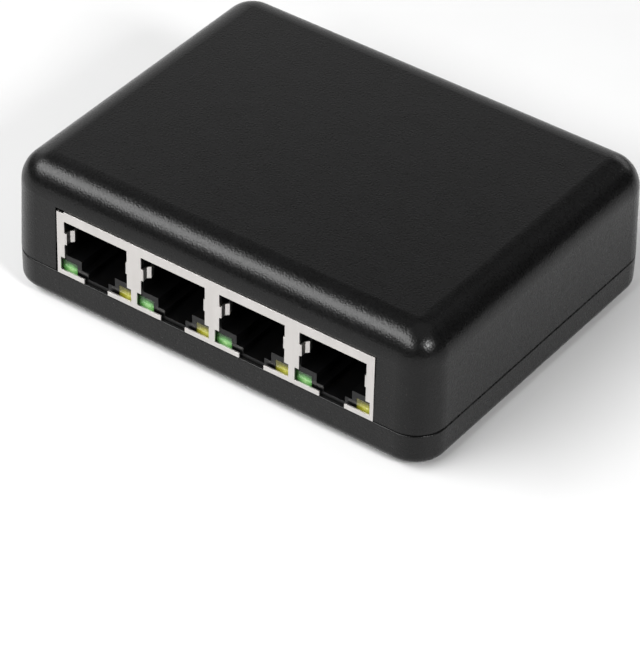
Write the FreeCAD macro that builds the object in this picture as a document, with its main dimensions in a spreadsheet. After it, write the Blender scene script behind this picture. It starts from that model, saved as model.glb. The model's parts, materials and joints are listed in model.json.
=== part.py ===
import FreeCAD, Part
import math
import os
import re
import Sketcher

# Desktop network switch: a two-part plastic case around one circuit board, with a row of four
# shielded RJ45 sockets along the front and a USB-C power inlet at the rear.
# Frame, in millimetres: +Z up, +X right as seen from the front, the sockets face -Y, and the
# origin is on the surface that the rubber feet stand on, under the middle of the case.

doc = FreeCAD.newDocument("network_switch")
sheet = doc.addObject("Spreadsheet::Sheet", "sizes")
nodes = []

SIZES = {
    # case
    "case_width": 76, "case_depth": 59, "case_height": 22.7, "case_wall": 1.8,
    "split_height": 5.4, "corner_radius": 5.25, "top_radius": 5.1, "bottom_radius": 1.4,
    "cover_draft": 1, "tray_draft": 0.5, "tray_step": 0.02, "split_gap": 0.3, "tray_edge": 0.2,
    "lip_height": 1.2, "lip_wall": 0.8, "lip_inset": 0.9, "lip_gap": 0.1,
    # feet and screws
    "foot_height": 1.0, "foot_radius": 4, "foot_recess": 0.5, "foot_edge": 0.35, "foot_gap": 0.1,
    "foot_span_wide": 53, "foot_span_deep": 39,
    "screw_span_wide": 65.2, "screw_span_deep": 48, "screw_length": 10, "shank_radius": 1.25,
    "head_radius": 2.3, "head_height": 1.4, "head_sink": 0.2, "head_gap": 0.4, "drive_depth": 0.8,
    "drive_length": 2.6, "drive_width": 0.6,
    "boss_radius": 2.6, "pilot_radius": 1.1, "pilot_depth": 8, "clearance_radius": 1.5,
    "post_radius": 3.2,
    # circuit board
    "board_thickness": 1.6, "board_width": 71.2, "board_depth": 54.4, "board_corner": 3,
    "board_hole": 1.65, "pin_hole": 0.42, "pin_stick_out": 1.1,
    "slot_play": 0.2,
    # row of sockets
    "port_pitch": 14.29, "jack_offset": 0.4, "jack_width": 57.3, "jack_height": 11.5,
    "jack_depth": 18, "shield_wall": 0.25, "shield_gap": 0.1, "case_gap": 0.35, "seat_gap": 0.1,
    "opening_width": 11.7, "opening_top": 9.8, "sill_height": 0.8, "latch_slot": 4.4,
    "flange_drop": 0.3, "flange_notch": 2, "led_window_width": 13.2, "led_window_top": 3.1,
    "housing_recess": 0.6, "cavity_floor": 3.24, "cavity_top": 9.85, "cavity_depth": 12.6,
    "keyway_wide": 6.24, "keyway_wide_floor": 1.62, "keyway_narrow": 3.8, "keyway_floor": 0.6,
    "housing_side_gap": 0.05, "shield_tab": 1.6, "shield_tab_place": 9,
    # side springs of the shield
    "finger_low": 5.6, "finger_height": 2.05, "finger_in": 0.2, "finger_fold": 0.15,
    "finger_run": 1.0, "finger_bow": 0.45, "finger_rise": 0.5, "finger_tail": 1.1, "finger_crest": 0.325,
    # contacts
    "contact_pitch": 1.02, "contact_radius": 0.2, "carrier_width": 10.6, "carrier_gap": 0.1,
    "carrier_arm": 0.75, "carrier_arm_length": 10.4, "carrier_back": 0.3, "carrier_low": 1.4,
    "bend_radius": 0.45, "contact_slope": 18, "contact_length": 9, "contact_split": 0.08,
    "tail_step": 2.54,
    # port lamps
    "lamp_inner": 3.9, "lamp_width": 2.85, "lamp_top": 2.3, "lamp_play": 0.05,
    "lamp_length": 4.6, "lamp_corner": 0.6, "lamp_bay": 7, "lamp_lead": 0.45, "lamp_lead_span": 1.27,
    "lamp_lead_place": 3.4,
    # power inlet
    "inlet_width": 8.94, "inlet_height": 3.2, "inlet_length": 7.3, "inlet_wall": 0.3,
    "inlet_setback": 0.25, "inlet_round": 1.55, "inlet_gap": 0.2, "inlet_play": 0.05,
    "tongue_width": 6.7, "tongue_height": 0.7, "tongue_length": 5, "tongue_block_length": 1.9,
    "tongue_block_width": 5.6, "inlet_leg": 0.9, "inlet_leg_place": 2.55,
    "strip_width": 0.25, "strip_height": 0.06, "strip_length": 3.4, "strip_pitch": 0.75,
    "strip_setback": 0.5,
    # chips on the board; x and y are their middles
    "stand_off": 0.15,
    "magnetics_length": 12.2, "magnetics_width": 7.2, "magnetics_height": 4.2, "magnetics_y": -4.9,
    "switch_length": 10, "switch_width": 10, "switch_height": 1.4, "switch_x": 0, "switch_y": 10,
    "memory_length": 4.9, "memory_width": 3.9, "memory_height": 1.5, "memory_x": -19,
    "memory_y": 16.5,
    "regulator_length": 6.5, "regulator_width": 3.5, "regulator_height": 1.6, "regulator_x": 22,
    "regulator_y": 4.5,
    # their leads: reach and rise from the chip's side, width and pitch; the last three are shares
    # of the reach
    "magnetics_lead_reach": 1.3, "magnetics_lead_rise": 1.2, "magnetics_lead_width": 0.45,
    "magnetics_lead_pitch": 1.27,
    "switch_lead_reach": 1, "switch_lead_rise": 0.85, "switch_lead_width": 0.22,
    "switch_lead_pitch": 0.5,
    "memory_lead_reach": 1, "memory_lead_rise": 1, "memory_lead_width": 0.4,
    "memory_lead_pitch": 1.27,
    "regulator_lead_reach": 1.6, "regulator_lead_rise": 1, "regulator_lead_width": 0.7,
    "regulator_lead_pitch": 2.3,
    "cooling_lead_reach": 1.6, "cooling_lead_rise": 1, "cooling_lead_width": 3,
    "cooling_lead_pitch": 3,
    "lead_thickness": 0.2, "lead_shoulder": 0.35, "lead_heel": 0.6, "lead_slant": 0.1,
    # other parts on the board
    "crystal_length": 11.3, "crystal_width": 4.6, "crystal_height": 3.5, "crystal_x": -19,
    "crystal_y": 8, "crystal_side_round": 2.25, "crystal_top_round": 0.4,
    "can_radius": 2.5, "can_height": 5.2, "can_base": 5.3, "can_base_height": 0.8,
    "can_left_x": 14.5, "can_right_x": 22, "can_y": 20.5,
    "coil_side": 6, "coil_height": 2.8, "coil_x": 14, "coil_y": 12, "coil_round": 0.8,
    "passive_length": 1.6, "passive_width": 0.8, "capacitor_height": 0.8, "resistor_height": 0.45,
    "fuse_length": 4.5, "fuse_width": 3.2, "fuse_height": 0.9, "fuse_x": 6, "fuse_y": 21.5,
    # how far a tool that cuts, or a piece that is fused on, runs past the face it meets
    "past": 1,
}

# Rows of small parts on the board: the first one's low corner, the step to the next, and how many.
PASSIVE_ROWS = {
    "capacitor": [((-8, 17.4), (3.2, 0), 6), ((-27, 3), (3, 0), 4)],
    "resistor": [((-8, 2.2), (3.2, 0), 6), ((-28, 8), (0, 2.4), 6)],
}

DERIVED = {
    "split_level": "=foot_height + split_height",
    "cover_level": "=split_level + split_gap",
    "case_top": "=foot_height + case_height",
    "floor_level": "=foot_height + case_wall",
    "board_top": "=split_level + shield_gap",
    "board_bottom": "=board_top - board_thickness",
    "head_top": "=foot_height + head_sink + head_height",
    "jack_front": "=-case_depth / 2",
    "housing_front": "=jack_front + housing_recess",
    "housing_back": "=jack_front + jack_depth - 2 * shield_wall",
    "housing_width": "=jack_width - 2 * shield_wall - 2 * housing_side_gap",
    "housing_height": "=jack_height - shield_wall - housing_side_gap",
    "housing_length": "=housing_back - housing_front",
    "bay_front": "=housing_front + cavity_depth",
    "carrier_top": "=cavity_top + housing_side_gap + carrier_arm",
    "inlet_mouth": "=case_depth / 2 - inlet_setback",
    "inlet_middle": "=board_top + inlet_height / 2",
}


def fill_sheet():
    """Write every size into the sheet, one row each: its name and its value."""
    for row, (name, value) in enumerate(list(SIZES.items()) + list(DERIVED.items()), start=1):
        sheet.set(f"A{row}", name)
        sheet.set(f"B{row}", str(value))
        sheet.setAlias(f"B{row}", name)
    doc.recompute()


def size(name):
    """The value of one cell of the sheet."""
    return float(sheet.get(name))


def cells(text):
    """Point every name in an expression at its cell of the sheet."""
    return re.sub(r"[a-z][a-z_]*", lambda word: "sizes." + word.group(), str(text))


def bind(thing, **expressions):
    """Bind properties to expressions of the sheet's names; Base_x stands for Placement.Base.x."""
    for name, text in expressions.items():
        path = "Placement.Base." + name[-1] if name.startswith("Base_") else name
        thing.setExpression(path, cells(text))
    return thing


def keep(thing, label):
    """Name a finished sub-part and list it for export."""
    thing.Label = label
    nodes.append(thing)
    return thing


# ---- building blocks ---------------------------------------------------------------------------


def box(name, length, low):
    """A Part box from its three lengths and its low corner, all expressions."""
    block = doc.addObject("Part::Box", name)
    bind(block, Length=length[0], Width=length[1], Height=length[2])
    return bind(block, Base_x=low[0], Base_y=low[1], Base_z=low[2])


def cylinder(name, radius, height, low):
    """An upright Part cylinder from the middle of its lower end."""
    rod = doc.addObject("Part::Cylinder", name)
    bind(rod, Radius=radius, Height=height)
    return bind(rod, Base_x=low[0], Base_y=low[1], Base_z=low[2])


def joined(name, pieces):
    """A Part fuse of several solids."""
    fuse = doc.addObject("Part::MultiFuse", name)
    fuse.Shapes = pieces
    return fuse


def cut(name, base, tool):
    """A Part cut of one solid from another."""
    result = doc.addObject("Part::Cut", name)
    result.Base = base
    result.Tool = tool
    return result


def together(name, pieces):
    """Separate solids kept as one group."""
    group = doc.addObject("Part::Compound", name)
    group.Links = pieces
    return group


def new_body(name):
    """An empty PartDesign body."""
    return doc.addObject("PartDesign::Body", name)


def new_sketch(body, name, role, offset="0"):
    """A sketch on one of the body's own origin planes, moved along its normal."""
    sketch = body.newObject("Sketcher::SketchObject", name)
    plane = next(item for item in body.Origin.OriginFeatures if item.Role == role)
    sketch.AttachmentSupport = [(plane, "")]
    sketch.MapMode = "FlatFace"
    sketch.setExpression("AttachmentOffset.Base.z", cells(offset))
    return sketch


def constrain(sketch, kind, places, text):
    """Add one driving dimension and bind it to the sheet."""
    number = sketch.addConstraint(Sketcher.Constraint(kind, *places, 1.0))
    sketch.setExpression(f"Constraints[{number}]", cells(text))


def rectangle(sketch, low_x, low_y, width, height):
    """An upright rectangle; its corner, from the sketch's origin, and its sides are expressions."""
    corners = [FreeCAD.Vector(*xy, 0) for xy in ((1, 1), (2, 1), (2, 2), (1, 2))]
    lines = [
        sketch.addGeometry(Part.LineSegment(corners[side], corners[(side + 1) % 4]))
        for side in range(4)
    ]
    for side in range(4):
        ends = (lines[side], 2, lines[(side + 1) % 4], 1)
        sketch.addConstraint(Sketcher.Constraint("Coincident", *ends))
        direction = "Vertical" if side % 2 else "Horizontal"
        sketch.addConstraint(Sketcher.Constraint(direction, lines[side]))
    constrain(sketch, "DistanceX", (lines[0], 1, lines[0], 2), width)
    constrain(sketch, "DistanceY", (lines[1], 1, lines[1], 2), height)
    constrain(sketch, "DistanceX", (-1, 1, lines[0], 1), low_x)
    constrain(sketch, "DistanceY", (-1, 1, lines[0], 1), low_y)


def circle(sketch, x, y, radius):
    """A circle; its middle, from the sketch's origin, and its radius are expressions."""
    ring = Part.Circle(FreeCAD.Vector(1, 1, 0), FreeCAD.Vector(0, 0, 1), 1)
    number = sketch.addGeometry(ring)
    constrain(sketch, "Radius", (number,), radius)
    constrain(sketch, "DistanceX", (-1, 1, number, 3), x)
    constrain(sketch, "DistanceY", (-1, 1, number, 3), y)


def outline(sketch, points):
    """A closed line through points given as pairs of expressions."""
    count = len(points)
    turn = 2 * math.pi / count
    ring = [FreeCAD.Vector(math.cos(turn * k), math.sin(turn * k), 0) for k in range(count)]
    lines = [
        sketch.addGeometry(Part.LineSegment(ring[side], ring[(side + 1) % count]))
        for side in range(count)
    ]
    for side in range(count):
        ends = (lines[side], 2, lines[(side + 1) % count], 1)
        sketch.addConstraint(Sketcher.Constraint("Coincident", *ends))
        constrain(sketch, "DistanceX", (-1, 1, lines[side], 1), points[side][0])
        constrain(sketch, "DistanceY", (-1, 1, lines[side], 1), points[side][1])


def pad(body, sketch, length, reverse=False, draft="0"):
    """Extrude a sketch; a draft above zero narrows it as it goes."""
    feature = body.newObject("PartDesign::Pad", sketch.Name + "_pad")
    feature.Profile = sketch
    feature.Reversed = reverse
    bind(feature, Length=length, TaperAngle=f"-({draft})")
    doc.recompute()
    return feature


def pocket(body, sketch, depth, reverse=False):
    """Cut a sketch into its body and make sure that something was cut."""
    before = body.Shape.Volume
    feature = body.newObject("PartDesign::Pocket", sketch.Name + "_pocket")
    feature.Profile = sketch
    feature.Reversed = reverse
    bind(feature, Length=depth)
    doc.recompute()
    if not body.Shape.Volume < before - 1e-3:
        raise RuntimeError(f"{feature.Name} cuts nothing")
    return feature


def round_edges(body, radius, chosen):
    """Fillet the edges of the body's last feature that chosen() picks."""
    base = body.Tip
    names = [f"Edge{k + 1}" for k, edge in enumerate(base.Shape.Edges) if chosen(edge)]
    feature = body.newObject("PartDesign::Fillet", f"{body.Name}_round_{len(body.Group)}")
    feature.Base = (base, names)
    bind(feature, Radius=radius)
    doc.recompute()
    return feature


def runs_up(edge):
    """Whether an edge joins the lower end of a block to its upper end."""
    return edge.BoundBox.ZLength > 0.9 * max(edge.BoundBox.XLength, edge.BoundBox.YLength, 1)


def at_level(level):
    """A test for edges that lie flat at one height."""
    return lambda edge: edge.BoundBox.ZLength < 1e-3 and abs(edge.BoundBox.ZMax - level) < 1e-3


def at_corners(wide, deep):
    """The four corners of a rectangle about the origin, as pairs of expressions."""
    return [(f"{a} * {wide} / 2", f"{b} * {deep} / 2") for b in (-1, 1) for a in (-1, 1)]


def port_x(number):
    """The middle of one socket, counted from the left, as an expression."""
    return f"jack_offset + {number - 1.5} * port_pitch"


# ---- case --------------------------------------------------------------------------------------


def case_block(name, offset, inset, length, down, draft, edge_radius):
    """A drafted block of the case's outline: upright corners rounded, then its far flat face."""
    body = new_body(name)
    sketch = new_sketch(body, name + "_outline", "XY_Plane", offset)
    low = (f"{inset} - case_width / 2", f"{inset} - case_depth / 2")
    rectangle(sketch, *low, f"case_width - 2 * ({inset})", f"case_depth - 2 * ({inset})")
    pad(body, sketch, length, reverse=down, draft=draft)
    round_edges(body, f"corner_radius - ({inset})", runs_up)
    levels = [corner.Z for corner in body.Shape.Vertexes]
    round_edges(body, edge_radius, at_level(min(levels) if down else max(levels)))
    return body


def case_ring(name, outer, inner, offset, height):
    """A plain ring that follows the case's outline, between two insets."""
    body = new_body(name)
    sketch = new_sketch(body, name + "_outline", "XY_Plane", offset)
    for inset in (outer, inner):
        rectangle(sketch, f"{inset} - case_width / 2", f"{inset} - case_depth / 2",
                  f"case_width - 2 * ({inset})", f"case_depth - 2 * ({inset})")
    pad(body, sketch, height)
    round_edges(body, f"corner_radius - ({outer})", runs_upright)
    return body


def at_screws(name, radius, height, level):
    """One cylinder on each screw's axis."""
    places = at_corners("screw_span_wide", "screw_span_deep")
    return [
        cylinder(f"{name}_{number}", radius, height, place + (level,))
        for number, place in enumerate(places)
    ]


def top_cover():
    """The upper shell: drafted sides, a large round along the top, and a rebate for the tray's lip.

    It stands a little above the tray, so that the joint between them is a fine groove. The row of
    sockets sits close to the upper and right edges of its opening.
    """
    outside = case_block("cover_outside", "cover_level", "0", "case_top - cover_level", False,
                         "cover_draft", "top_radius")
    inside = case_block("cover_inside", "cover_level", "case_wall",
                        "case_top - cover_level - case_wall", False, "cover_draft",
                        "top_radius - case_wall")
    bosses = at_screws("cover_boss", "boss_radius", "case_top - board_top - case_wall / 2",
                       "board_top")
    shell = joined("cover_shell", [cut("cover_hollow", outside, inside)] + bosses)
    rebate = case_block("lip_rebate", "cover_level", "lip_inset - lip_gap",
                        "lip_height + lip_gap", False, "0", "lip_gap / 2")
    sockets = box("socket_opening", ("case_gap + jack_width + seat_gap", "case_wall + 3 * past",
                                     "past + shield_gap + jack_height + seat_gap"),
                  ("jack_offset - jack_width / 2 - case_gap", "-case_depth / 2 - past",
                   "split_level - past"))
    half = "(inlet_width / 2 + inlet_gap)"
    inlet = box("inlet_opening", (f"2 * {half}", "case_wall + 3 * past",
                                  "past + shield_gap + inlet_height + inlet_gap"),
                (f"-{half}", "case_depth / 2 - case_wall - 2 * past", "split_level - past"))
    pilots = at_screws("cover_pilot", "pilot_radius", "pilot_depth", "board_top")
    openings = joined("cover_openings", [rebate, sockets, inlet] + pilots)
    return keep(cut("cover", shell, openings), "top_cover")


def base_tray():
    """The lower shell, open at the top, which carries the board on its posts."""
    outside = case_block("tray_outside", "split_level", "tray_step", "split_height", True,
                         "tray_draft", "bottom_radius")
    round_edges(outside, "tray_edge", at_level(size("split_level")))
    inside = case_block("tray_inside", "split_level", "case_wall + tray_step",
                        "split_height - case_wall", True, "tray_draft", "bottom_radius / 2")
    posts = at_screws("tray_post", "post_radius", "board_bottom - floor_level + case_wall / 2",
                      "floor_level - case_wall / 2")
    lip = case_ring("tray_lip", "lip_inset", "lip_inset + lip_wall", "split_level - past / 2",
                    "lip_height + past / 2")
    shell = joined("tray_shell", [cut("tray_hollow", outside, inside), lip] + posts)
    reach = "(jack_width / 2 + 2 * case_gap)"
    gaps = [
        box("lip_gap_front", (f"2 * {reach}", "case_wall + 2 * past", "lip_height + past"),
            (f"jack_offset - {reach}", "-case_depth / 2", "split_level")),
        box("lip_gap_rear", ("inlet_width + 2 * past", "case_wall + 2 * past", "lip_height + past"),
            ("-inlet_width / 2 - past", "case_depth / 2 - case_wall - 2 * past", "split_level")),
    ]
    holes = at_screws("tray_hole", "clearance_radius", "split_height", "foot_height")
    seats = at_screws("head_seat", "head_radius + head_gap", "head_sink + head_height",
                      "foot_height")
    recesses = [
        cylinder(f"foot_recess_{number}", "foot_radius + foot_gap", "foot_recess",
                 place + ("foot_height",))
        for number, place in enumerate(at_corners("foot_span_wide", "foot_span_deep"))
    ]
    sunk = joined("tray_cuts", gaps + holes + seats + recesses)
    return keep(cut("tray", shell, sunk), "base_tray")


def rubber_foot(label, place):
    """One stick-on foot in its recess, with a rounded lower edge."""
    body = new_body(label)
    sketch = new_sketch(body, label + "_disc", "XY_Plane")
    circle(sketch, "0", "0", "foot_radius")
    pad(body, sketch, "foot_height + foot_recess")
    round_edges(body, "foot_edge", at_level(0))
    bind(body, Base_x=place[0], Base_y=place[1])
    return keep(body, label)


def case_screws():
    """Four self-tapping screws, put in from below through the tray and the board."""
    screws = []
    for number, (x, y) in enumerate(at_corners("screw_span_wide", "screw_span_deep")):
        head = cylinder(f"screw_head_{number}", "head_radius", "head_height",
                        (x, y, "head_top - head_height"))
        shank = cylinder(f"screw_shank_{number}", "shank_radius", "screw_length", (x, y, "head_top"))
        point = doc.addObject("Part::Cone", f"screw_point_{number}")
        bind(point, Radius1="shank_radius", Radius2="shank_radius / 4", Height="shank_radius")
        bind(point, Base_x=x, Base_y=y, Base_z="head_top + screw_length")
        screw = joined(f"screw_solid_{number}", [head, shank, point])
        low = "head_top - head_height"
        slots = [
            box(f"drive_{number}_{side}", lengths, corner + (low,))
            for side, (lengths, corner) in enumerate((
                (("drive_length", "drive_width", "drive_depth"),
                 (f"{x} - drive_length / 2", f"{y} - drive_width / 2")),
                (("drive_width", "drive_length", "drive_depth"),
                 (f"{x} - drive_width / 2", f"{y} - drive_length / 2")),
            ))
        ]
        screws.append(cut(f"screw_{number}", screw, joined(f"screw_drive_{number}", slots)))
    return keep(together("case_screws", screws), "case_screws")


# ---- board -------------------------------------------------------------------------------------


def contact_places():
    """Where each contact tail meets the board, in one socket: pairs of expressions."""
    back = "housing_back - carrier_back - 2 * contact_radius"
    return [
        (f"{k - 3.5} * contact_pitch", back if k % 2 else f"{back} - tail_step") for k in range(8)
    ]


def lamp_lead_places():
    """Where the lamps' leads meet the board, in one socket: pairs of expressions."""
    places = []
    for side in (-1, 1):
        for end in (-0.5, 0.5):
            x = f"{side} * (lamp_inner + lamp_width / 2) + {end} * lamp_lead_span"
            places.append((x, "housing_front + lamp_lead_place"))
    return places


def tab_places():
    """Low corners and lengths of the metal tabs that pass through the board."""
    tabs = [
        (f"jack_offset {x}", "jack_front + shield_tab_place", "shield_tab")
        for x in ("- jack_width / 2", "+ jack_width / 2 - shield_wall")
    ]
    for x in ("-inlet_width / 2", "inlet_width / 2 - inlet_wall"):
        for y in ("inlet_mouth - inlet_leg_place - inlet_leg", "inlet_mouth - inlet_length"):
            tabs.append((x, y, "inlet_leg"))
    return tabs


def main_board():
    """The circuit board, drilled for the screws, the contact tails and the lamps' leads."""
    body = new_body("main_board")
    sheet_outline = new_sketch(body, "board_outline", "XY_Plane", "board_bottom")
    rectangle(sheet_outline, "-board_width / 2", "-board_depth / 2", "board_width", "board_depth")
    pad(body, sheet_outline, "board_thickness")
    round_edges(body, "board_corner", runs_upright)
    holes = new_sketch(body, "board_holes", "XY_Plane", "board_bottom - past")
    for place in at_corners("screw_span_wide", "screw_span_deep"):
        circle(holes, *place, "board_hole")
    for number in range(4):
        for x, y in contact_places() + lamp_lead_places():
            circle(holes, f"{port_x(number)} + {x}", y, "pin_hole")
    pocket(body, holes, "board_thickness + 2 * past", reverse=True)
    slots = new_sketch(body, "board_slots", "XY_Plane", "board_bottom - past")
    for x, y, length in tab_places():
        rectangle(slots, f"{x} - slot_play", f"{y} - slot_play", "shield_wall + 2 * slot_play",
                  f"{length} + 2 * slot_play")
    pocket(body, slots, "board_thickness + 2 * past", reverse=True)
    return keep(body, "main_board")


def runs_upright(edge):
    """Whether an edge is a straight upright one."""
    return edge.BoundBox.XLength < 1e-3 and edge.BoundBox.YLength < 1e-3


# ---- sockets -----------------------------------------------------------------------------------


def housing_pocket(body, name, rects, depth, from_back=False):
    """Cut rectangles, given about one socket's middle and above the board, into the housing."""
    offset = "-housing_back" if from_back else "-housing_front"
    sketch = new_sketch(body, name, "XZ_Plane", offset)
    for number in range(4):
        for low, bottom, width, height in rects:
            rectangle(sketch, f"{port_x(number)} + {low}", f"board_top + {bottom}", width, height)
    pocket(body, sketch, depth, reverse=from_back)


def jack_housing():
    """The moulded housing of all four sockets, with plug cavities, latch keyways and lamp bays."""
    body = new_body("jack_housing")
    block = new_sketch(body, "housing_block", "XZ_Plane", "-housing_back")
    rectangle(block, "jack_offset - housing_width / 2", "board_top", "housing_width",
              "housing_height")
    pad(body, block, "housing_length")
    cavity = ("-opening_width / 2", "cavity_floor", "opening_width", "cavity_top - cavity_floor")
    housing_pocket(body, "plug_cavities", [cavity], "cavity_depth")
    wide = ("-keyway_wide / 2", "keyway_wide_floor", "keyway_wide",
            "cavity_floor - keyway_wide_floor + past")
    housing_pocket(body, "wide_keyways", [wide], "cavity_depth")
    narrow = ("-keyway_narrow / 2", "keyway_floor", "keyway_narrow",
              "keyway_wide_floor - keyway_floor + past")
    housing_pocket(body, "narrow_keyways", [narrow], "cavity_depth")
    lamps = [
        (side, "-past", "lamp_width", "lamp_top + past")
        for side in ("-lamp_inner - lamp_width", "lamp_inner")
    ]
    housing_pocket(body, "lamp_bays", lamps, "lamp_bay")
    bay_width = "carrier_width + 2 * carrier_gap"
    bay = (f"-({bay_width}) / 2", "-past", bay_width, "carrier_top + carrier_gap + past")
    housing_pocket(body, "carrier_bays", [bay], "housing_length - cavity_depth", from_back=True)
    groove = (f"-({bay_width}) / 2", "cavity_top - past", bay_width,
              "carrier_top + carrier_gap - cavity_top + past")
    housing_pocket(body, "carrier_grooves", [groove],
                   "housing_length - cavity_depth + carrier_arm_length + 4 * bend_radius",
                   from_back=True)
    return keep(body, "jack_housing")


def shield_windows(body):
    """The plug openings, the wider windows of the lamps and the slots of the latches."""
    window = new_sketch(body, "plug_windows", "XZ_Plane", "-jack_front + past")
    lamp = new_sketch(body, "lamp_windows", "XZ_Plane", "-jack_front + past")
    slot = new_sketch(body, "latch_slots", "XZ_Plane", "-jack_front + past")
    for number in range(4):
        middle = port_x(number)
        rectangle(window, f"{middle} - opening_width / 2", "board_top + sill_height",
                  "opening_width", "opening_top - sill_height")
        rectangle(lamp, f"{middle} - led_window_width / 2", "board_top + sill_height",
                  "led_window_width", "led_window_top - sill_height")
        rectangle(slot, f"{middle} - latch_slot / 2", "board_top - past", "latch_slot",
                  "sill_height + 1.5 * past")
    for sketch in (window, lamp, slot):
        pocket(body, sketch, "shield_wall + past")


def finger_outline(sketch, middle, side):
    """A side spring seen from above: folded back from the front plate and bowed into the opening."""
    face = "opening_width / 2 - finger_in - finger_fold"
    thick = "shield_wall"
    path = [
        ("opening_width / 2 + shield_gap", "0"),
        (f"{face} + finger_fold", "0"),
        (face, "finger_fold"),
        (face, "finger_run"),
        (f"{face} - finger_bow", "finger_run + finger_rise"),
        (f"{face} - finger_bow / 4", "finger_run + finger_rise + finger_tail"),
        (f"{face} - finger_bow / 4 + {thick}", "finger_run + finger_rise + finger_tail"),
        (f"{face} - finger_bow + finger_crest", "finger_run + finger_rise"),
        (f"{face} + {thick}", "finger_run"),
        (f"{face} + {thick}", thick),
        ("opening_width / 2 + shield_gap", thick),
    ]
    outline(sketch, [(f"{middle} + {side} * ({x})", f"jack_front + {y}") for x, y in path])


def shield_fingers(body):
    """Two side springs in each opening, which touch the shell of a plug."""
    sketch = new_sketch(body, "side_springs", "XY_Plane", "board_top + finger_low")
    for number in range(4):
        for side in (-1, 1):
            finger_outline(sketch, port_x(number), side)
    pad(body, sketch, "finger_height")


def jack_shield_front():
    """The folded metal shield: front plate, top, two sides, side springs and two board tabs."""
    body = new_body("jack_shield_front")
    block = new_sketch(body, "shield_block", "XZ_Plane", "-jack_front - jack_depth + shield_wall")
    rectangle(block, "jack_offset - jack_width / 2", "board_top", "jack_width", "jack_height")
    pad(body, block, "jack_depth - shield_wall")
    inside = new_sketch(body, "shield_inside", "XY_Plane", "board_top")
    rectangle(inside, "jack_offset - jack_width / 2 + shield_wall", "jack_front + shield_wall",
              "jack_width - 2 * shield_wall", "jack_depth")
    pocket(body, inside, "jack_height - shield_wall", reverse=True)
    shield_windows(body)
    notch = new_sketch(body, "flange_notch", "XZ_Plane", "-jack_front + past")
    rectangle(notch, "jack_offset - jack_width / 2 - past",
              "board_top + jack_height - flange_drop",
              "(jack_width - 3 * port_pitch - opening_width) / 2 + past", "past")
    pocket(body, notch, "past + flange_notch")
    shield_fingers(body)
    tabs = new_sketch(body, "shield_tabs", "XY_Plane", "board_top + past")
    for x, y, length in tab_places()[:2]:
        rectangle(tabs, x, y, "shield_wall", length)
    pad(body, tabs, "board_thickness + pin_stick_out + past", reverse=True)
    return keep(body, "jack_shield_front")


def jack_shield_rear():
    """The rear plate of the shield."""
    plate = box("rear_plate", ("jack_width - 2 * shield_wall", "shield_wall",
                               "jack_height - shield_gap"),
                ("jack_offset - jack_width / 2 + shield_wall", "jack_front + jack_depth - shield_wall",
                 "board_top"))
    return keep(plate, "jack_shield_rear")


def contact_carrier(number):
    """The insert of one socket: a block behind the cavity with an arm forward along its ceiling."""
    x = f"{port_x(number)} - carrier_width / 2"
    back = "housing_back - carrier_back"
    block = box(f"carrier_block_{number}",
                ("carrier_width", f"{back} - bay_front", "carrier_top - carrier_low"),
                (x, "bay_front", "board_top + carrier_low"))
    arm = box(f"carrier_arm_{number}",
              ("carrier_width", "carrier_arm_length + past", "carrier_arm"),
              (x, "bay_front - carrier_arm_length", "board_top + carrier_top - carrier_arm"))
    return keep(joined(f"carrier_{number}", [block, arm]), f"contact_carrier_{number + 1}")


def rounded_path(points, radius):
    """A wire through points with a tangent arc at each corner."""
    edges = []
    start = points[0]
    for before, corner, after in zip(points, points[1:], points[2:]):
        to_before = (before - corner).normalize()
        to_after = (after - corner).normalize()
        half_turn = to_before.getAngle(to_after) / 2
        reach = radius / math.tan(half_turn)
        first = corner + to_before * reach
        last = corner + to_after * reach
        middle = (to_before + to_after).normalize()
        nearest = corner + middle * (radius / math.sin(half_turn) - radius)
        edges.append(Part.LineSegment(start, first).toShape())
        edges.append(Part.Arc(first, nearest, last).toShape())
        start = last
    edges.append(Part.LineSegment(start, points[-1]).toShape())
    return Part.Wire(edges)


def round_rod(path, radius):
    """A round wire along a path."""
    start = path.Edges[0]
    direction = start.tangentAt(start.FirstParameter)
    ring = Part.Wire(Part.makeCircle(radius, start.valueAt(start.FirstParameter), direction))
    return path.makePipeShell([ring], True, False)


def contact_geometry():
    """Where the contacts run: heights and depths shared by the leads and the springs."""
    arm_level = size("board_top") + size("carrier_top") - size("carrier_arm") / 2
    arm_front = size("bay_front") - size("carrier_arm_length")
    rear = size("housing_back") - size("carrier_back") - 2 * size("contact_radius")
    bend = size("bend_radius")
    slope = math.radians(size("contact_slope"))
    middle = FreeCAD.Vector(0, arm_front - bend / 2, arm_level - bend)
    # The bend turns through half a circle less the slope, and the spring leaves along its tangent.
    out = FreeCAD.Vector(0, math.cos(slope), -math.sin(slope))
    foot = middle + FreeCAD.Vector(0, -math.sin(slope), -math.cos(slope)) * bend
    return arm_level, rear, middle, foot, out


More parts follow.
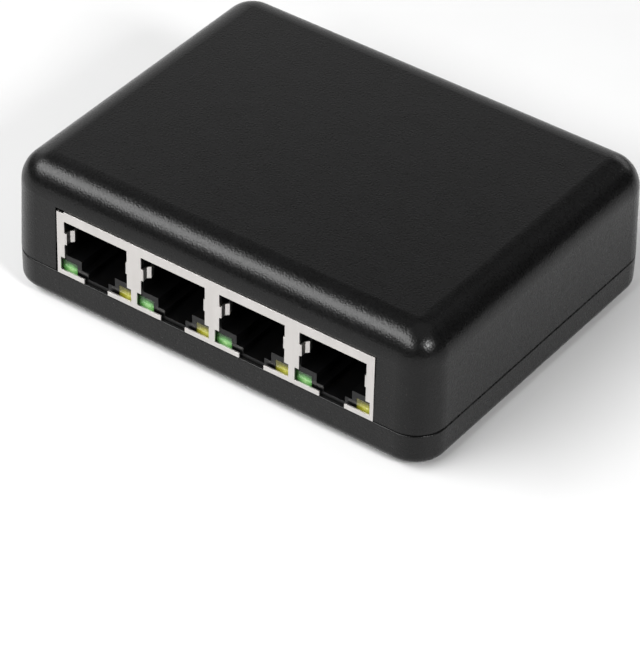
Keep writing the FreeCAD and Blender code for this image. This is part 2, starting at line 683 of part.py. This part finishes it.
def contact_leads(number):
    """The fixed part of one socket's eight contacts: solder tail, riser, run and front bend."""
    arm_level, rear, middle, foot = contact_geometry()[:4]
    radius = size("contact_radius")
    bend = size("bend_radius")
    low = size("board_bottom") - size("pin_stick_out")
    jog = size("board_top") + size("carrier_low") / 2
    leads = []
    for k in range(8):
        x = (k - 3.5) * size("contact_pitch")
        route = [(rear, low), (rear, arm_level), (middle.y, arm_level)]
        if k % 2 == 0:
            forward = rear - size("tail_step")
            route = [(forward, low), (forward, jog), (rear, jog)] + route[1:]
        points = [FreeCAD.Vector(x, y, z) for y, z in route]
        path = rounded_path(points, bend)
        crest = FreeCAD.Vector(x, middle.y, middle.z + bend)
        front = FreeCAD.Vector(x, middle.y - bend, middle.z)
        turn = Part.Arc(crest, front, FreeCAD.Vector(x, foot.y, foot.z)).toShape()
        leads.append(round_rod(Part.Wire(path.Edges + [turn]), radius))
    feature = doc.addObject("Part::Feature", f"leads_{number}")
    feature.Shape = Part.makeCompound(leads)
    feature.Placement = FreeCAD.Placement(FreeCAD.Vector(port_place(number), 0, 0),
                                          FreeCAD.Rotation())
    return keep(feature, f"contact_leads_{number + 1}")


def port_place(number):
    """The middle of one socket as a number."""
    return size("jack_offset") + (number - 1.5) * size("port_pitch")


def jack_contacts(number):
    """The springs of one socket's eight contacts, which slope back and down from the bend."""
    foot, out = contact_geometry()[3:]
    springs = []
    for k in range(8):
        shift = FreeCAD.Vector((k - 3.5) * size("contact_pitch"), 0, 0)
        start = foot + out * size("contact_split") + shift
        end = foot + out * size("contact_length") + shift
        springs.append(round_rod(Part.Wire(Part.makeLine(start, end)), size("contact_radius")))
    feature = doc.addObject("Part::Feature", f"springs_{number}")
    feature.Shape = Part.makeCompound(springs)
    feature.Placement = FreeCAD.Placement(FreeCAD.Vector(port_place(number), 0, 0),
                                          FreeCAD.Rotation())
    return keep(feature, f"jack_contacts_{number + 1}")


def port_lamp(label, number, side):
    """One lamp beside a latch slot: a clear block with rounded lower corners."""
    body = new_body(label)
    sketch = new_sketch(body, label + "_lens", "XZ_Plane", "-housing_front - lamp_length")
    width = "lamp_width - 2 * lamp_play"
    rectangle(sketch, f"-({width}) / 2", "board_top + lamp_play", width,
              "lamp_top - 2 * lamp_play")
    pad(body, sketch, "lamp_length")
    bottom = size("board_top") + size("lamp_play")
    round_edges(body, "lamp_corner", lambda edge: edge.BoundBox.YLength > 1
                and edge.BoundBox.ZMax < bottom + 1e-3)
    bind(body, Base_x=f"{port_x(number)} + {side} * (lamp_inner + lamp_width / 2)")
    return keep(body, label)


def lamp_leads():
    """The square leads of all the lamps, soldered through the board."""
    leads = []
    for number in range(4):
        for place, (x, y) in enumerate(lamp_lead_places()):
            half = "lamp_lead / 2"
            low = (f"{port_x(number)} + {x} - {half}", f"{y} - {half}",
                   "board_bottom - pin_stick_out")
            lengths = ("lamp_lead", "lamp_lead", "board_thickness + pin_stick_out + lamp_play")
            leads.append(box(f"lamp_lead_{number}_{place}", lengths, low))
    return keep(together("lamp_lead_group", leads), "lamp_leads")


# ---- parts on the board ------------------------------------------------------------------------


def chip(label, prefix, x, y):
    """A chip's moulded body, a little above the board."""
    low = (f"{x} - {prefix}_length / 2", f"{y} - {prefix}_width / 2", "board_top + stand_off")
    lengths = (f"{prefix}_length", f"{prefix}_width", f"{prefix}_height")
    return keep(box(label + "_body", lengths, low), label)


def gull_lead(prefix):
    """One gull-wing lead at the origin: it leaves a chip's side along +X and ends flat below."""
    reach, rise, width = (size(f"{prefix}_lead_{part}") for part in ("reach", "rise", "width"))
    thick = size("lead_thickness")
    shoulder = size("lead_shoulder") * reach
    heel = size("lead_heel") * reach
    slant = size("lead_slant") * reach
    points = [(0, rise), (shoulder, rise), (heel, thick), (reach, thick), (reach, 0),
              (heel - slant, 0), (shoulder - slant, rise - thick), (0, rise - thick), (0, rise)]
    wire = Part.makePolygon([FreeCAD.Vector(x, -width / 2, z) for x, z in points])
    return Part.Face(wire).extrude(FreeCAD.Vector(0, width, 0))


def lead_row(prefix, count, offset, turn, middle):
    """The leads along one side of a chip, turned about the chip's middle."""
    lead = gull_lead(prefix)
    pitch = size(f"{prefix}_lead_pitch")
    row = []
    for k in range(count):
        copy = lead.copy()
        copy.translate(FreeCAD.Vector(offset, (k - (count - 1) / 2) * pitch, 0))
        copy.rotate(FreeCAD.Vector(), FreeCAD.Vector(0, 0, 1), turn)
        copy.translate(middle)
        row.append(copy)
    return row


def loose_solids(name, label, solids):
    """A group of separate solids made with Part's own functions."""
    feature = doc.addObject("Part::Feature", name)
    feature.Shape = Part.makeCompound(solids)
    return keep(feature, label)


def magnetics():
    """Four isolating transformer modules in a row behind the sockets, and their leads."""
    leads = []
    side = size("magnetics_width") / 2
    for number in range(4):
        chip(f"magnetics_{number + 1}", "magnetics", port_x(number), "magnetics_y")
        middle = FreeCAD.Vector(port_place(number), size("magnetics_y"), size("board_top"))
        for turn in (-90, 90):
            leads += lead_row("magnetics", 8, side, turn, middle)
    loose_solids("magnetics_lead_group", "magnetics_leads", leads)


def switch_chip():
    """The switch's main chip and its leads on four sides."""
    chip("switch_chip", "switch", "switch_x", "switch_y")
    middle = FreeCAD.Vector(size("switch_x"), size("switch_y"), size("board_top"))
    leads = []
    for turn in (0, 90, 180, 270):
        leads += lead_row("switch", 16, size("switch_length") / 2, turn, middle)
    loose_solids("switch_lead_group", "switch_chip_leads", leads)


def small_chips():
    """The settings memory, the voltage regulator with its wide cooling lead, and their leads."""
    chip("config_memory", "memory", "memory_x", "memory_y")
    chip("voltage_regulator", "regulator", "regulator_x", "regulator_y")
    top = size("board_top")
    memory = FreeCAD.Vector(size("memory_x"), size("memory_y"), top)
    regulator = FreeCAD.Vector(size("regulator_x"), size("regulator_y"), top)
    leads = []
    for turn in (-90, 90):
        leads += lead_row("memory", 4, size("memory_width") / 2, turn, memory)
    side = size("regulator_width") / 2
    leads += lead_row("regulator", 3, side, 90, regulator)
    leads += lead_row("cooling", 1, side, -90, regulator)
    loose_solids("small_lead_group", "small_chip_leads", leads)


def crystal():
    """The clock crystal's metal can, with round ends and a rounded top."""
    body = new_body("crystal_can")
    can = new_sketch(body, "crystal_outline", "XY_Plane", "board_top")
    rectangle(can, "-crystal_length / 2", "-crystal_width / 2", "crystal_length", "crystal_width")
    pad(body, can, "crystal_height")
    round_edges(body, "crystal_side_round", runs_upright)
    top = size("board_top") + size("crystal_height")
    round_edges(body, "crystal_top_round", at_level(top))
    bind(body, Base_x="crystal_x", Base_y="crystal_y")
    return keep(body, "crystal")


def bulk_capacitors():
    """Two upright electrolytic cans on their square plastic bases."""
    cans = []
    bases = []
    for x in ("can_left_x", "can_right_x"):
        cans.append(cylinder(f"{x}_can", "can_radius", "can_height - can_base_height",
                             (x, "can_y", "board_top + can_base_height")))
        low = (f"{x} - can_base / 2", "can_y - can_base / 2", "board_top")
        bases.append(box(f"{x}_base", ("can_base", "can_base", "can_base_height"), low))
    keep(together("can_group", cans), "bulk_capacitors")
    keep(together("can_base_group", bases), "capacitor_bases")


def power_coil():
    """The filter coil of the power input, a low block with rounded corners."""
    body = new_body("power_coil")
    block = new_sketch(body, "coil_outline", "XY_Plane", "board_top")
    rectangle(block, "-coil_side / 2", "-coil_side / 2", "coil_side", "coil_side")
    pad(body, block, "coil_height")
    round_edges(body, "coil_round", runs_upright)
    bind(body, Base_x="coil_x", Base_y="coil_y")
    return keep(body, "power_inductor")


def passives():
    """Chip capacitors and chip resistors in rows, and the resettable fuse."""
    for kind, rows in PASSIVE_ROWS.items():
        places = [
            (first[0] + step[0] * k, first[1] + step[1] * k, "board_top")
            for first, step, count in rows
            for k in range(count)
        ]
        lengths = ("passive_length", "passive_width", f"{kind}_height")
        blocks = [box(f"{kind}_{number}", lengths, place) for number, place in enumerate(places)]
        keep(together(f"{kind}_group", blocks), f"chip_{kind}s")
    low = ("fuse_x", "fuse_y", "board_top")
    keep(box("fuse_body", ("fuse_length", "fuse_width", "fuse_height"), low), "input_fuse")


# ---- power inlet -------------------------------------------------------------------------------


def runs_back(edge):
    """Whether an edge is a straight one from front to back."""
    return edge.BoundBox.XLength < 1e-3 and edge.BoundBox.ZLength < 1e-3


def inlet_block(name, inset, extra):
    """The outline of the inlet's shell less an inset, with round sides, longer at each end."""
    body = new_body(name)
    sketch = new_sketch(body, name + "_outline", "XZ_Plane", f"-inlet_mouth - {extra}")
    rectangle(sketch, f"{inset} - inlet_width / 2", f"board_top + {inset}",
              f"inlet_width - 2 * {inset}", f"inlet_height - 2 * {inset}")
    pad(body, sketch, f"inlet_length + 2 * {extra}")
    round_edges(body, f"inlet_round - {inset}", runs_back)
    return body


def usb_c_inlet():
    """The USB-C power inlet: shell on four legs, insulator with its tongue, and strips."""
    tube = cut("inlet_tube", inlet_block("inlet_outside", "0", "0"),
               inlet_block("inlet_inside", "inlet_wall", "past"))
    legs = [
        box(f"inlet_leg_{number}",
            ("inlet_wall", length, "board_thickness + inlet_round + pin_stick_out / 2"),
            (x, y, "board_bottom - pin_stick_out / 2"))
        for number, (x, y, length) in enumerate(tab_places()[2:])
    ]
    keep(joined("inlet_shell", [tube] + legs), "usb_c_shell")
    back = "inlet_mouth - inlet_length"
    height = "(inlet_height - 2 * inlet_wall - 2 * inlet_play)"
    block = box("tongue_block", ("tongue_block_width", "tongue_block_length", height),
                ("-tongue_block_width / 2", back, f"inlet_middle - {height} / 2"))
    tongue = box("tongue", ("tongue_width", "tongue_block_length + tongue_length", "tongue_height"),
                 ("-tongue_width / 2", back, "inlet_middle - tongue_height / 2"))
    keep(joined("inlet_insulator", [block, tongue]), "usb_c_insulator")
    inlet_strips(f"{back} + tongue_block_length + tongue_length")


def inlet_strips(tongue_end):
    """Eight contact strips on each face of the tongue, just short of its end."""
    faces = ("inlet_middle + tongue_height / 2", "inlet_middle - tongue_height / 2 - strip_height")
    strips = [
        box(f"strip_{side}_{k}", ("strip_width", "strip_length", "strip_height"),
            (f"{k - 3.5} * strip_pitch - strip_width / 2",
             f"{tongue_end} - strip_length - strip_setback", level))
        for side, level in enumerate(faces)
        for k in range(8)
    ]
    return keep(together("strip_group", strips), "usb_c_contacts")


fill_sheet()
top_cover()
base_tray()
for side, place in zip(("front_left", "front_right", "rear_left", "rear_right"),
                       at_corners("foot_span_wide", "foot_span_deep")):
    rubber_foot("foot_" + side, place)
case_screws()
main_board()
jack_housing()
jack_shield_front()
jack_shield_rear()
for port in range(4):
    contact_carrier(port)
    contact_leads(port)
    jack_contacts(port)
    port_lamp(f"green_led_{port + 1}", port, -1)
    port_lamp(f"yellow_led_{port + 1}", port, 1)
lamp_leads()
magnetics()
switch_chip()
small_chips()
crystal()
bulk_capacitors()
power_coil()
passives()
usb_c_inlet()
doc.recompute()

for item in doc.Objects:
    if "Invalid" in item.State or "Error" in item.State:
        raise RuntimeError(f"{item.Name} failed: {item.State}")
for item in nodes:
    if item.Shape.isNull() or not item.Shape.isValid():
        raise RuntimeError(f"{item.Label} has no valid shape")
os.makedirs("parts", exist_ok=True)
for item in nodes:
    item.Shape.exportStep(f"parts/{item.Label}.step")
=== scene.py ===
import json
import math

import bpy
from mathutils import Matrix, Vector

# A small black network switch on a pale table: textured plastic case, tin-plated socket shield,
# moulded sockets with green and yellow lamps, gold contacts, and the board with its parts inside.

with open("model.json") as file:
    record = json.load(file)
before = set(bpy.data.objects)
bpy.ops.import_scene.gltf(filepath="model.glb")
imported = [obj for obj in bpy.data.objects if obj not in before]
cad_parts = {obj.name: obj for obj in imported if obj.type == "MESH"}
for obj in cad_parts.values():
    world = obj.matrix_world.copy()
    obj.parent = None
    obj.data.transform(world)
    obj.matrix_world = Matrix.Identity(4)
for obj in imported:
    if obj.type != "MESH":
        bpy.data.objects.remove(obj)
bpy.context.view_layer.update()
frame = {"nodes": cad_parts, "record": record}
nodes = frame["nodes"]
record = frame["record"]
MM = 0.001

# A noise texture's values lie mostly between these two.
LOW, HIGH = 0.3, 0.7

# Each soft light: azimuth and elevation in degrees (azimuth 0 is in front of the object), distance,
# width and height in metres, and power in watts. They all face LIGHT_AIM.
LIGHTS = {
    "key_strip": (-36, 45.5, 0.9, 0.90, 0.36, 12.6),
    "front_box": (6, 36, 0.9, 0.13, 0.13, 2.0),
    "side_box": (72, 34, 0.9, 0.19, 0.19, 5.8),
    "backdrop": (-138, 17.5, 1.3, 1.4, 0.88, 3.2),
    "left_panel": (-105, 32, 0.9, 0.6, 0.6, 0.9),
    "back_panel": (175, 20, 1.2, 0.8, 0.4, 2.0),
    "overhead": (128, 76, 1.3, 1.2, 1.2, 2.2),
}
LIGHT_AIM = Vector((0, 0, 0.01))
ROOM_LIGHT = 0.02

# The camera: angles in degrees, the point it looks at, and its distance from there.
CAMERA_AZIMUTH, CAMERA_ELEVATION, CAMERA_ROLL = 35.19, 38.16, 1.5
CAMERA_AIM = Vector((-1.3, 0, -9.31)) * MM
CAMERA_DISTANCE = 594.35 * MM
CAMERA_LENS, CAMERA_SENSOR = 215.0, 36.0
CAMERA_NEAR = 0.01

TABLE_HALF = 3.0


# ---- materials -----------------------------------------------------------------------------------


class Shader:
    """A Principled material and short calls that add procedural detail to it."""

    def __init__(self, name, color, roughness, metallic=0.0, **sockets):
        self.material = bpy.data.materials.new(name)
        self.material.use_nodes = True
        self.tree = self.material.node_tree
        self.bsdf = self.tree.nodes["Principled BSDF"]
        self.set("Base Color", (*color, 1.0))
        self.set("Roughness", roughness)
        self.set("Metallic", metallic)
        for socket, value in sockets.items():
            self.set(socket.replace("_", " "), value)
        self.place = self.add("TexCoord").outputs["Object"]

    def set(self, socket, value):
        """Set one constant on the shader itself."""
        self.bsdf.inputs[socket].default_value = value

    def add(self, kind):
        """A new node of a kind, such as Bump."""
        return self.tree.nodes.new("ShaderNode" + kind)

    def link(self, output, entry):
        """Join an output to an input."""
        self.tree.links.new(output, entry)

    def scaled(self, scale):
        """The place on the object, scaled along each axis."""
        mapping = self.add("Mapping")
        mapping.inputs["Scale"].default_value = scale
        self.link(self.place, mapping.inputs["Vector"])
        return mapping.outputs["Vector"]

    def noise(self, size, detail, stretch=(1, 1, 1)):
        """Noise whose grains are about size metres across, stretched along an axis below 1."""
        texture = self.add("TexNoise")
        texture.inputs["Scale"].default_value = 1.0
        texture.inputs["Detail"].default_value = detail
        texture.inputs["Roughness"].default_value = 0.5
        self.link(self.scaled([part / size for part in stretch]), texture.inputs["Vector"])
        return texture.outputs["Fac"]

    def cells(self, size):
        """Rounded cells about size metres across."""
        texture = self.add("TexVoronoi")
        texture.feature = "SMOOTH_F1"
        texture.inputs["Scale"].default_value = 1.0
        self.link(self.scaled([1 / size] * 3), texture.inputs["Vector"])
        return texture.outputs["Distance"]

    def tint(self, value, dark, light, start=LOW, end=HIGH):
        """Colour the surface between two colours."""
        ramp = self.add("ValToRGB")
        ramp.color_ramp.elements[0].position = start
        ramp.color_ramp.elements[0].color = (*dark, 1)
        ramp.color_ramp.elements[1].position = end
        ramp.color_ramp.elements[1].color = (*light, 1)
        self.link(value, ramp.inputs["Fac"])
        self.link(ramp.outputs["Color"], self.bsdf.inputs["Base Color"])
        return self

    def paint_glow_spot(self, middle, stretch, ragged):
        """Colour by the distance, across and up, from a place within the piece's own box; this paints a
        glow that fades into shade.
        """
        mapping = self.add("Mapping")
        mapping.inputs["Scale"].default_value = (stretch[0], 0, stretch[1])
        mapping.inputs["Location"].default_value = (-middle[0] * stretch[0], 0, -middle[1] * stretch[1])
        self.link(self.add("TexCoord").outputs["Generated"], mapping.inputs["Vector"])
        length = self.add("VectorMath")
        length.operation = "LENGTH"
        self.link(mapping.outputs["Vector"], length.inputs[0])
        edge = self.add("Math")
        edge.operation = "MULTIPLY_ADD"
        edge.inputs[1].default_value = ragged
        self.link(self.noise(0.45 * MM, 2), edge.inputs[0])
        self.link(length.outputs["Value"], edge.inputs[2])
        ramp = self.add("ValToRGB")
        self.link(edge.outputs["Value"], ramp.inputs["Fac"])
        self.link(ramp.outputs["Color"], self.bsdf.inputs["Base Color"])
        return ramp.color_ramp

    def roughen(self, value, low, high):
        """Vary the roughness between two values."""
        ranged = self.add("MapRange")
        for socket, number in (("From Min", LOW), ("From Max", HIGH), ("To Min", low), ("To Max", high)):
            ranged.inputs[socket].default_value = number
        self.link(value, ranged.inputs["Value"])
        self.link(ranged.outputs["Result"], self.bsdf.inputs["Roughness"])
        return self

    def soften(self, radius):
        """Round off sharp edges by a small radius."""
        node = self.add("Bevel")
        node.samples = 4
        node.inputs["Radius"].default_value = radius
        self.link(node.outputs["Normal"], self.bsdf.inputs["Normal"])
        return self

    def bump(self, value, height):
        """Raise the surface by a texture, height metres from its lowest to its highest value."""
        node = self.add("Bump")
        node.inputs["Strength"].default_value = 1.0
        node.inputs["Distance"].default_value = height
        self.link(value, node.inputs["Height"])
        before = self.bsdf.inputs["Normal"]
        if before.is_linked:
            self.link(before.links[0].from_socket, node.inputs["Normal"])
        self.link(node.outputs["Normal"], before)
        return self


def case_plastic():
    """Black moulded plastic with a fine satin grain."""
    shader = Shader("case_plastic", (0.003, 0.003, 0.0031), 0.28, Specular_IOR_Level=0.228)
    shader.tint(shader.noise(4 * MM, 4), (0.0025, 0.0025, 0.0025), (0.0035, 0.0035, 0.0036))
    shader.roughen(shader.noise(0.5 * MM, 3), 0.25, 0.31)
    return shader.bump(shader.noise(0.26 * MM, 0), 0.022 * MM)


def moulded(name, color, roughness, specular=0.5):
    """Plain moulding, smoother than the case."""
    shader = Shader(name, color, roughness, Specular_IOR_Level=specular)
    light = tuple(1.5 * part for part in color)
    shader.tint(shader.noise(1.5 * MM, 4), color, light)
    shader.roughen(shader.noise(0.4 * MM, 3), roughness - 0.05, roughness + 0.07)
    return shader.soften(0.06 * MM).bump(shader.noise(0.12 * MM, 3), 0.003 * MM)


def rolled_metal(name, color, roughness, stretch=(1, 1, 1)):
    """Plated sheet metal with faint rolling marks."""
    shader = Shader(name, color, roughness, 1.0)
    dark = tuple(0.93 * part for part in color)
    shader.tint(shader.noise(1.6 * MM, 4, stretch), dark, color)
    shader.roughen(shader.noise(0.5 * MM, 3, stretch), roughness - 0.04, roughness + 0.06)
    return shader.soften(0.05 * MM).bump(shader.noise(0.14 * MM, 2, stretch), 0.0006 * MM)


def lamp_lens(name, edge, color, painted_glow):
    """Tinted epoxy with a painted glow and highlight low and off the middle, fading into painted shade
    towards the edge.
    """
    shader = Shader(name, color, 0.25, Transmission_Weight=0.08)
    # Painted glow and highlight low and off the middle, painted shade towards the lens's edge.
    ramp = shader.paint_glow_spot((0.60, 0.40), (1.15, 1.45), 0.22)
    ramp.elements[0].color = (*painted_glow, 1)
    ramp.elements[1].position = 0.86
    ramp.elements[1].color = (*edge, 1)
    for place, part in ((0.22, 0.45), (0.50, 0.0)):
        mixed = (part * a + (1 - part) * b for a, b in zip(painted_glow, color))
        ramp.elements.new(place).color = (*mixed, 1)
    shader.roughen(shader.noise(0.3 * MM, 2), 0.18, 0.32)
    return shader.soften(0.08 * MM).bump(shader.noise(0.5 * MM, 2), 0.006 * MM)


def board_laminate():
    """Green solder mask with copper planes and tracks faintly raised below it."""
    shader = Shader("board_laminate", (0.01, 0.10, 0.04), 0.32, Coat_Weight=0.25)
    shader.tint(shader.cells(1.8 * MM), (0.006, 0.075, 0.03), (0.014, 0.14, 0.055), 0.35, 0.4)
    shader.roughen(shader.noise(0.5 * MM, 3), 0.26, 0.40)
    return shader.bump(shader.cells(1.8 * MM), 0.02 * MM)


def rubber():
    """Matt black rubber."""
    shader = Shader("foot_rubber", (0.015, 0.015, 0.015), 0.75)
    shader.tint(shader.noise(1.0 * MM, 4), (0.012, 0.012, 0.012), (0.026, 0.026, 0.025))
    shader.roughen(shader.noise(0.3 * MM, 3), 0.66, 0.86)
    return shader.bump(shader.noise(0.15 * MM, 3), 0.02 * MM)


SHADERS = {
    "case_plastic": case_plastic,
    "foot_rubber": rubber,
    "screw_steel": lambda: rolled_metal("screw_steel", (0.10, 0.10, 0.105), 0.38),
    "board_laminate": board_laminate,
    "housing_plastic": lambda: moulded("housing_plastic", (0.0008, 0.0008, 0.0009), 0.34, 0.30),
    "shield_metal": lambda: rolled_metal("shield_metal", (0.60, 0.578, 0.56), 0.34, (1, 1, 0.15)),
    "contact_gold": lambda: rolled_metal("contact_gold", (0.95, 0.68, 0.28), 0.24),
    # Each lamp lens: its painted shade colour at the edge, its tint, and its painted glow.
    "lamp_green": lambda: lamp_lens("lamp_green", (0.016, 0.055, 0.014), (0.10, 0.30, 0.075),
                                    (0.44, 0.70, 0.32)),
    "lamp_yellow": lambda: lamp_lens("lamp_yellow", (0.075, 0.07, 0.008), (0.27, 0.26, 0.02),
                                     (0.62, 0.62, 0.13)),
    "magnetics_case": lambda: moulded("magnetics_case", (0.018, 0.018, 0.02), 0.55),
    "chip_epoxy": lambda: moulded("chip_epoxy", (0.022, 0.022, 0.024), 0.6),
    "tinned_lead": lambda: rolled_metal("tinned_lead", (0.72, 0.72, 0.70), 0.36),
    "can_metal": lambda: rolled_metal("can_metal", (0.80, 0.80, 0.81), 0.28, (1, 1, 0.2)),
    "ferrite": lambda: moulded("ferrite", (0.05, 0.05, 0.055), 0.6),
    "ceramic_tan": lambda: moulded("ceramic_tan", (0.30, 0.18, 0.08), 0.45),
    "resistor_glaze": lambda: moulded("resistor_glaze", (0.015, 0.015, 0.018), 0.3),
    "fuse_green": lambda: moulded("fuse_green", (0.02, 0.16, 0.07), 0.45),
}
materials = {name: make().material for name, make in SHADERS.items()}


def paint_nodes():
    """Give every CAD node the material of its slot."""
    for part in record["subparts"]:
        node = nodes[part["node"]]
        node.data.materials.clear()
        node.data.materials.append(materials[part["material_slot"]])


# ---- stage ---------------------------------------------------------------------------------------


def make_floor():
    """A plain pale table top."""
    mesh = bpy.data.meshes.new("table_top")
    signs = ((-1, -1), (1, -1), (1, 1), (-1, 1))
    corners = [(x * TABLE_HALF, y * TABLE_HALF, 0) for x, y in signs]
    mesh.from_pydata(corners, [], [(0, 1, 2, 3)])
    floor = bpy.data.objects.new("table_top", mesh)
    bpy.context.scene.collection.objects.link(floor)
    shader = Shader("table_paint", (0.61, 0.61, 0.61), 0.6)
    shader.tint(shader.noise(40 * MM, 3), (0.605, 0.605, 0.605), (0.62, 0.62, 0.62))
    shader.roughen(shader.noise(5 * MM, 3), 0.55, 0.65)
    mesh.materials.append(shader.material)


def direction(azimuth, elevation):
    """The unit vector towards an azimuth and elevation, with azimuth 0 in front of the object."""
    turn, rise = math.radians(azimuth), math.radians(elevation)
    return Vector((math.sin(turn) * math.cos(rise), -math.cos(turn) * math.cos(rise), math.sin(rise)))


def soft_light(name, azimuth, elevation, distance, width, height, power):
    """A rectangular soft light that faces the object."""
    data = bpy.data.lights.new(name, "AREA")
    data.shape = "RECTANGLE"
    data.size = width
    data.size_y = height
    data.energy = power
    light = bpy.data.objects.new(name, data)
    bpy.context.scene.collection.objects.link(light)
    back = direction(azimuth, elevation)
    light.location = LIGHT_AIM + back * distance
    light.rotation_euler = back.to_track_quat("Z", "Y").to_euler()


def make_lights():
    """A long softbox at the front left, smaller boxes around the table, and a dim room."""
    for name, values in LIGHTS.items():
        soft_light(name, *values)
    world = bpy.data.worlds.new("studio")
    bpy.context.scene.world = world
    world.use_nodes = True
    background = world.node_tree.nodes["Background"]
    background.inputs["Color"].default_value = (1, 1, 1, 1)
    background.inputs["Strength"].default_value = ROOM_LIGHT
    bpy.context.scene.view_settings.view_transform = "Standard"


def make_camera():
    """The camera, a long lens at the front right looking down, with a slight roll."""
    back = direction(CAMERA_AZIMUTH, CAMERA_ELEVATION)
    level = (-back).cross(Vector((0, 0, 1))).normalized()
    upright = level.cross(-back)
    roll = math.radians(CAMERA_ROLL)
    right = math.cos(roll) * level + math.sin(roll) * upright
    up = math.cos(roll) * upright - math.sin(roll) * level
    data = bpy.data.cameras.new("camera")
    data.lens = CAMERA_LENS
    data.sensor_width = CAMERA_SENSOR
    data.clip_start = CAMERA_NEAR
    camera = bpy.data.objects.new("camera", data)
    bpy.context.scene.collection.objects.link(camera)
    place = CAMERA_AIM + back * CAMERA_DISTANCE
    camera.matrix_world = Matrix((
        (right.x, up.x, back.x, place.x),
        (right.y, up.y, back.y, place.y),
        (right.z, up.z, back.z, place.z),
        (0, 0, 0, 1),
    ))
    bpy.context.scene.camera = camera


paint_nodes()
make_floor()
make_lights()
make_camera()
